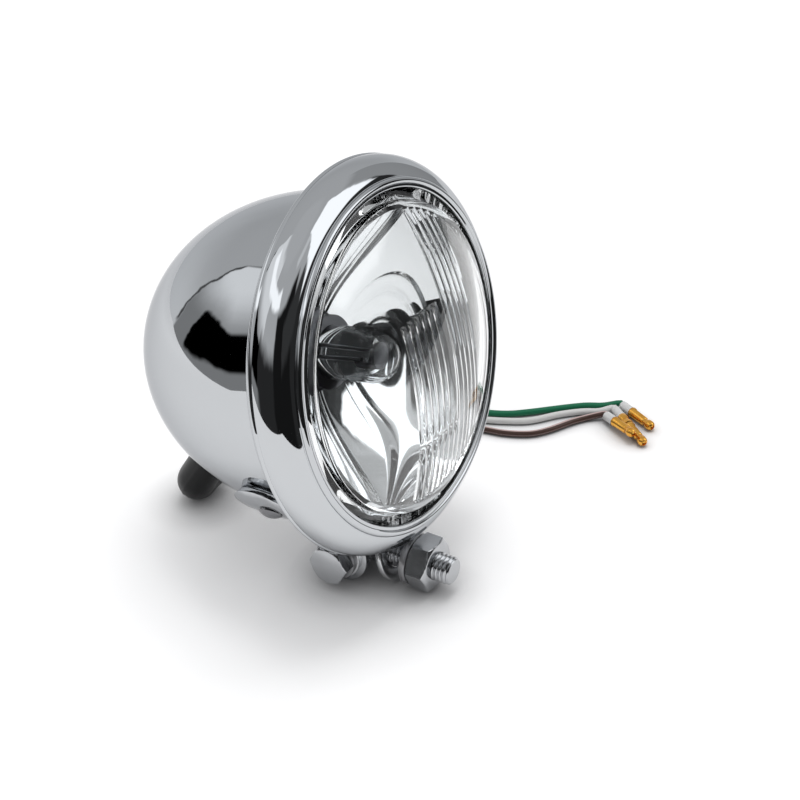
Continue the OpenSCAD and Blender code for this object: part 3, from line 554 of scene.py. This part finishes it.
dress("saddle", chrome("saddle_chrome", (0.58, 0.59, 0.605), 0.05, 0.12, 0.1), 0.0004)
dress("rivets", steel("rivet_steel", (0.22, 0.22, 0.23), 0.25, 0.4))
dress("pivot_lock_washer", dull)
dress("pivot_washer_head", plated)
dress("pivot_washer_nut", plated)
dress("stud_washer", plated, 0.0002)
dress("stud_lock_washer", dull)


# The pivot bolt with its nut, and the mounting stud with its own: turned from zinc-plated steel,
# so their hexagons end in cone-cut corners, and rolled, so their threads are helical. Lengths
# are in millimetres from the pivot.
RIGHT, FRONT, UP = np.array([1.0, 0, 0]), np.array([0, -1.0, 0]), np.array([0, 0, 1.0])
CUT, CUT_ROWS = 1.6, 9
BOLT_R, BOLT_FLATS, BOLT_PITCH, BOLT_THREAD = 4, 13, 1.25, 0.62
STUD_R, STUD_FLATS, STUD_PITCH, STUD_THREAD = 5, 17, 1.5, 0.72
HEAD_OUT, HEAD_IN, SHANK_END, BOLT_END = -20.1, -14.8, 9, 22.1
EYE_IN, EYE_R, EYE_BORE, STUD_NECK, STUD_END = 7.7, 9, 4.05, 12, 38
BOLT_NUT, STUD_NUT, PLAY = (12.6, 19.1), (23.6, 31.6), 0.05


def about(way, across, stations, radius):
    """Points round a line through the pivot: stations along way in millimetres, radii by station
    and angle, where the angle starts from straight up."""
    radius = np.broadcast_to(radius, (len(stations), radius.shape[-1]))
    a = np.linspace(0, 2 * np.pi, radius.shape[1], endpoint=False)
    flat = radius[..., None] * (np.cos(a)[None, :, None] * UP + np.sin(a)[None, :, None] * across)
    return PIVOT + MM * (flat + np.asarray(stations, float)[:, None, None] * way)


def hexagon(across_flats, start, end, cut_start, cut_end, bore=0.0, sides=144):
    """Stations and radii of a hexagon with flats up and down: the radius is the smaller of the
    flat side's and of a 30 degree cone's that cuts the corners at the ends."""
    a = np.linspace(0, 2 * np.pi, sides, endpoint=False)
    flats = across_flats / 2 / np.cos((a + np.pi / 6) % (np.pi / 3) - np.pi / 6)
    h = np.concatenate([start + np.linspace(0, CUT, CUT_ROWS), end - np.linspace(CUT, 0, CUT_ROWS)])
    cone = np.full_like(h, np.inf)
    for cut, depth in ((cut_start, h - start), (cut_end, end - h)):
        if cut:
            cone = np.minimum(cone, across_flats / 2 * 0.95 + depth * math.sqrt(3))
    r = np.minimum(flats[None, :], cone[:, None])
    inner = np.full((1, sides), bore)
    return np.concatenate([h[:1], h, h[-1:]]), np.concatenate([inner, r, inner])


def threaded(radius, pitch, start, end, depth, sides=48):
    """Stations and radii of a thread: its depth follows a flattened wave that runs once round
    for each pitch, and fades into a cone at the tip."""
    h = np.linspace(start, end, int((end - start) / pitch * 12) + 1)
    a = np.linspace(0, 1, sides, endpoint=False)
    wave = np.abs((h[:, None] / pitch - a[None, :]) % 1 - 0.5) * 2
    r = radius - depth * np.clip(wave * 1.25 - 0.12, 0, 1)
    return h, np.minimum(r, (radius - 0.8 + (end - h))[:, None])


def capped(h, r):
    """The same stations and radii with both ends closed to the middle."""
    zero = np.zeros((1, r.shape[1]))
    return np.concatenate([h[:1], h, h[-1:]]), np.concatenate([zero, r, zero])


def plain_bar(stations, radii, sides=48):
    """Stations and radii of a round bar whose radius changes only along it."""
    return np.array(stations, float), np.array(radii, float)[:, None] * np.ones((1, sides))


zinc = steel("zinc_plate", (0.52, 0.53, 0.545), 0.12, 0.25, 500)
bolt_head = hexagon(BOLT_FLATS, HEAD_OUT, HEAD_IN, True, False)
bolt_shank = plain_bar([HEAD_IN - 0.1, SHANK_END], [BOLT_R, BOLT_R])
bolt_thread = capped(*threaded(BOLT_R, BOLT_PITCH, SHANK_END, BOLT_END, BOLT_THREAD))
bolt = piece("pivot_bolt_turned", [(about(RIGHT, FRONT, *part), True, False)
                                   for part in (bolt_head, bolt_shank, bolt_thread)],
             zinc, "lamp")
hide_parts("pivot_bolt")
nut_sides = hexagon(BOLT_FLATS, *BOLT_NUT, True, True, BOLT_R + PLAY)
bolt_nut = piece("pivot_nut_turned", [(about(RIGHT, FRONT, *nut_sides), True, True)], zinc, "lamp")
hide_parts("pivot_nut")
half_eye = [(EYE_IN, EYE_BORE), (EYE_IN, EYE_R - 0.6), (EYE_IN - 0.2, EYE_R - 0.2), (EYE_IN - 0.6, EYE_R)]
eye = [(-station, radius) for station, radius in half_eye] + half_eye[::-1]
neck = plain_bar([5, 6.5, 10.4, STUD_NECK], [STUD_R + 0.9, STUD_R + 0.9, STUD_R, STUD_R])
stud_thread = capped(*threaded(STUD_R, STUD_PITCH, STUD_NECK, STUD_END, STUD_THREAD))
stud = piece("mounting_stud_turned", [(about(RIGHT, FRONT, *plain_bar(*zip(*eye), sides=96)), True, True),
                                      (about(FRONT, RIGHT, *neck), True, False),
                                      (about(FRONT, RIGHT, *stud_thread), True, False)],
             zinc, "mount")
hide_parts("mounting_stud")
nut_sides = hexagon(STUD_FLATS, *STUD_NUT, True, True, STUD_R + PLAY)
stud_nut = piece("stud_nut_turned", [(about(FRONT, RIGHT, *nut_sides), True, True)], zinc, "mount")
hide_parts("stud_nut")

# The rubber boot: moulded round the wires, straight out of the shell, with a round elbow and a
# tapered arm, and a parting line along its middle
BOOT_FOOT, BOOT_WAY = np.array([82.365, -33.767]), np.array([0.70693, -0.70728])
BOOT_START, BOOT_LEG, BOOT_ARM, BEND = -2.5, 35.5, 0.0138, 0.0065
SEAM_HEIGHT, SEAM_WIDTH = 0.00022, 0.07
foot, knee = (on_lamp(0, *(BOOT_FOOT + BOOT_WAY * k)) for k in (BOOT_START, BOOT_LEG))
leg_way = (knee - foot) / np.linalg.norm(knee - foot)
bend_a = np.linspace(0, np.pi / 2, 14)[:, None]
bend = knee - BEND * leg_way + BEND * RIGHT + BEND * (np.sin(bend_a) * leg_way - np.cos(bend_a) * RIGHT)
boot_path = np.vstack([foot + (bend[0] - foot) * np.linspace(0, 1, 16)[:-1, None], bend,
                       bend[-1] + (knee + BOOT_ARM * RIGHT - bend[-1]) * np.linspace(0, 1, 12)[1:, None]])
boot_along = np.linspace(0, 1, len(boot_path))
boot_r = np.interp(boot_along, [0, 0.62, 0.8, 0.96, 1], [0.007, 0.007, 0.0062, 0.006, 0.0055])
boot_turn = np.linspace(0, 2 * np.pi, 64, endpoint=False)
seam = SEAM_HEIGHT * np.exp(-(np.sin(boot_turn) / SEAM_WIDTH) ** 2)
slope = np.gradient(boot_path, axis=0)
slope /= np.linalg.norm(slope, axis=1, keepdims=True)
flat_side = np.cross(leg_way, RIGHT)
inward = np.cross(slope, flat_side)
boot_grid = boot_path[:, None] + (boot_r[:, None] + seam[None, :])[..., None] * (
    np.cos(boot_turn)[None, :, None] * inward[:, None] + np.sin(boot_turn)[None, :, None] * flat_side)
boot = piece("wire_boot_moulded", [(closed_ends(boot_grid), True, False)],
             rubber("boot_rubber", (0.006, 0.006, 0.0065), 0.34, 0.2), "lamp", crease=50)
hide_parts("wire_boot")

# The stage. A white table, which keeps the lamp's shadow and ends near the lamp on its front
# left, stands in a room that only the chrome shows: walls, a dark doorway, a long softbox.
TABLE_LEFT, TABLE_FRONT, TABLE_FAR, TABLE_Z = -0.40, -0.36, 4.0, -0.0002
SHADE_REACH, CONTACT_REACH = 0.045, 0.016
ROOM_R, ROOM_Z = 5.0, 0.06


def seen_directly(paint):
    """One for rays from the camera, from a mirror or through glass, and zero for the rest."""
    rays = [paint.node("ShaderNodeLightPath", out=kind)
            for kind in ("Is Camera Ray", "Is Glossy Ray", "Is Transmission Ray")]
    return paint.node("ShaderNodeMath", {"operation": "ADD", "use_clamp": True},
                      {0: rays[0] + rays[1], 1: rays[2]})


floor_paint = Paint("table_white", Roughness=0.7, Specular_IOR_Level=0.1, Emission_Strength=1.0)
openness, contact_shade = (floor_paint.node("ShaderNodeAmbientOcclusion", {"samples": 8}, {"Distance": reach},
                                      out="AO") for reach in (SHADE_REACH, CONTACT_REACH))
from_lamp = floor_paint.node("ShaderNodeVectorMath", {"operation": "LENGTH"}, {0: floor_paint.place()},
                             out="Value")
whiteness = floor_paint.ramp(from_lamp, 0.25, 0.9, 0.41, 0.56)
# Painted contact shadow: the table's colour is darker where the lamp's parts are close to it
floor_paint.put("Base Color", floor_paint.blend(contact_shade, (0.22, 0.22, 0.23), (0.86, 0.86, 0.865)))
# Painted shade: the glow fades near the lamp's parts and towards the lamp
glow = seen_directly(floor_paint) * openness * contact_shade * whiteness
floor_paint.put("Emission Color", floor_paint.blend(glow, (0, 0, 0), (1.0, 1.0, 1.01)))
table_corners = np.array([[(TABLE_LEFT, TABLE_FRONT, 0), (TABLE_FAR, TABLE_FRONT, 0)],
                          [(TABLE_LEFT, TABLE_FAR, 0), (TABLE_FAR, TABLE_FAR, 0)]], float)
floor = piece("table", [(table_corners, False, False)], floor_paint.material, None)
floor.location = (0, 0, TABLE_Z)

# The room's brightness by direction: turn is the angle from the lamp's left towards its front,
# height the angle above the table, both in degrees and let drift a little. Each thing in the
# room is a level of brightness and the share of it that stands in a direction.
room = Paint("room", Base_Color=(0, 0, 0), Roughness=1.0, Specular_IOR_Level=0.0, Emission_Strength=1.0)
away = [room.node("ShaderNodeSeparateXYZ", {}, {0: room.place()}, out=k) for k in range(3)]
DEGREES = 57.3
turn = room.node("ShaderNodeMath", {"operation": "ARCTAN2"}, {0: away[1] * -1, 1: away[0] * -1}) * DEGREES
height = room.node("ShaderNodeMath", {"operation": "ARCSINE"}, {0: away[2] * (1 / ROOM_R)}) * DEGREES
drift = (room.noise(0.8, 3) - 0.5) * 14
turn, height = turn + drift, height + drift * 0.5
bright = room.ramp(height, 0, 30, 0.85, 0.58)
left_wall = (room.ramp(height, 12, 36, 0.30, 1.05), room.band(turn, -81, -20, 1.0))
wall_edge = (0.10, room.band(turn, -83, -81, 0.5) * room.band(height, 2, 40, 1.5))
ceiling = (0.62, room.ramp(height, 64, 72))
right_wall = (0.42, room.ramp(turn, 146, 152) * room.ramp(height, 50, 40))
long_softbox = (1.6, room.band(turn, -72, 32, 4) * room.band(height, 46, 56, 2))
short_softbox = (0.8, room.band(turn, 80, 132, 4) * room.band(height, 51, 58, 2))
dark_front = (0.03, room.band(turn, -35, 150, 1.5) * room.ramp(height, 30, 16))
curtain = (0.012, room.band(turn, 28, 92, 3) * room.ramp(height, 46, 40))
sill = (0.05, room.band(turn, 60, 104, 2) * room.band(height, 14, 33, 3))
window = (1.7, room.band(turn, 106, 147, 1.5) * room.band(height, 17, 60, 1.5))
doorway = (0.0, room.band(turn, -68, -33, 0.8) * room.ramp(height, 19, 17))
under_table = (0.3, room.ramp(turn, -24, -36) * room.ramp(height, -1, -4))
for level, mask in (left_wall, wall_edge, ceiling, right_wall, long_softbox, short_softbox, dark_front,
                    curtain, sill, window, doorway, under_table):
    bright = bright + mask * (level - bright)
room.put("Emission Color", room.node("ShaderNodeCombineXYZ", {},
                                     {0: bright * 0.985, 1: bright, 2: bright * 1.02}))
rise, compass = np.meshgrid(np.linspace(-np.pi / 2, np.pi / 2, 25),
                            np.linspace(0, 2 * np.pi, 48, endpoint=False), indexing="ij")
globe = ROOM_R * np.stack([np.cos(rise) * np.cos(compass), np.cos(rise) * np.sin(compass),
                           np.sin(rise)], axis=-1)
dome = piece("room_walls", [(globe, True, False)], room.material, None)
dome.location = (0, 0, ROOM_Z)
for kind in ("camera", "diffuse", "volume_scatter", "shadow"):
    setattr(dome, "visible_" + kind, False)

# The world: plain light for the object, and white behind it for the camera, mirrors and glass
PLAIN_LIGHT, SEEN_WHITE = 0.52, 1.0
world = bpy.data.worlds.new("studio")
bpy.context.scene.world = world
world.use_nodes = True
nodes, links = world.node_tree.nodes, world.node_tree.links
rays = nodes.new("ShaderNodeLightPath")
plain, seen = nodes.new("ShaderNodeBackground"), nodes.new("ShaderNodeBackground")
for light, strength in ((plain, PLAIN_LIGHT), (seen, SEEN_WHITE)):
    light.inputs["Color"].default_value = (1, 1, 1, 1)
    light.inputs["Strength"].default_value = strength
first, second, pick = (nodes.new("ShaderNode" + kind) for kind in ("Math", "Math", "MixShader"))
for adder, a, b in ((first, rays.outputs["Is Camera Ray"], rays.outputs["Is Glossy Ray"]),
                    (second, first.outputs[0], rays.outputs["Is Transmission Ray"])):
    adder.operation, adder.use_clamp = "ADD", True
    links.new(a, adder.inputs[0])
    links.new(b, adder.inputs[1])
for socket, source in enumerate((second, plain, seen)):
    links.new(source.outputs[0], pick.inputs[socket])
links.new(pick.outputs[0], nodes["World Output"].inputs["Surface"])

# The one light over the table: a square softbox that the chrome doesn't mirror
OVERHEAD_AT, OVERHEAD_SIZE, OVERHEAD_POWER = Vector((0.08, -0.04, 1.2)), 0.5, 4.4
overhead_data = bpy.data.lights.new("overhead", "AREA")
overhead_data.size, overhead_data.energy = OVERHEAD_SIZE, OVERHEAD_POWER
overhead = bpy.data.objects.new("overhead", overhead_data)
overhead.location = OVERHEAD_AT
overhead.rotation_mode = "QUATERNION"
overhead.rotation_quaternion = (LOOK_AT - OVERHEAD_AT).to_track_quat("-Z", "Y")
overhead.visible_glossy = False
bpy.context.scene.collection.objects.link(overhead)

bpy.context.scene.view_settings.view_transform = "Standard"
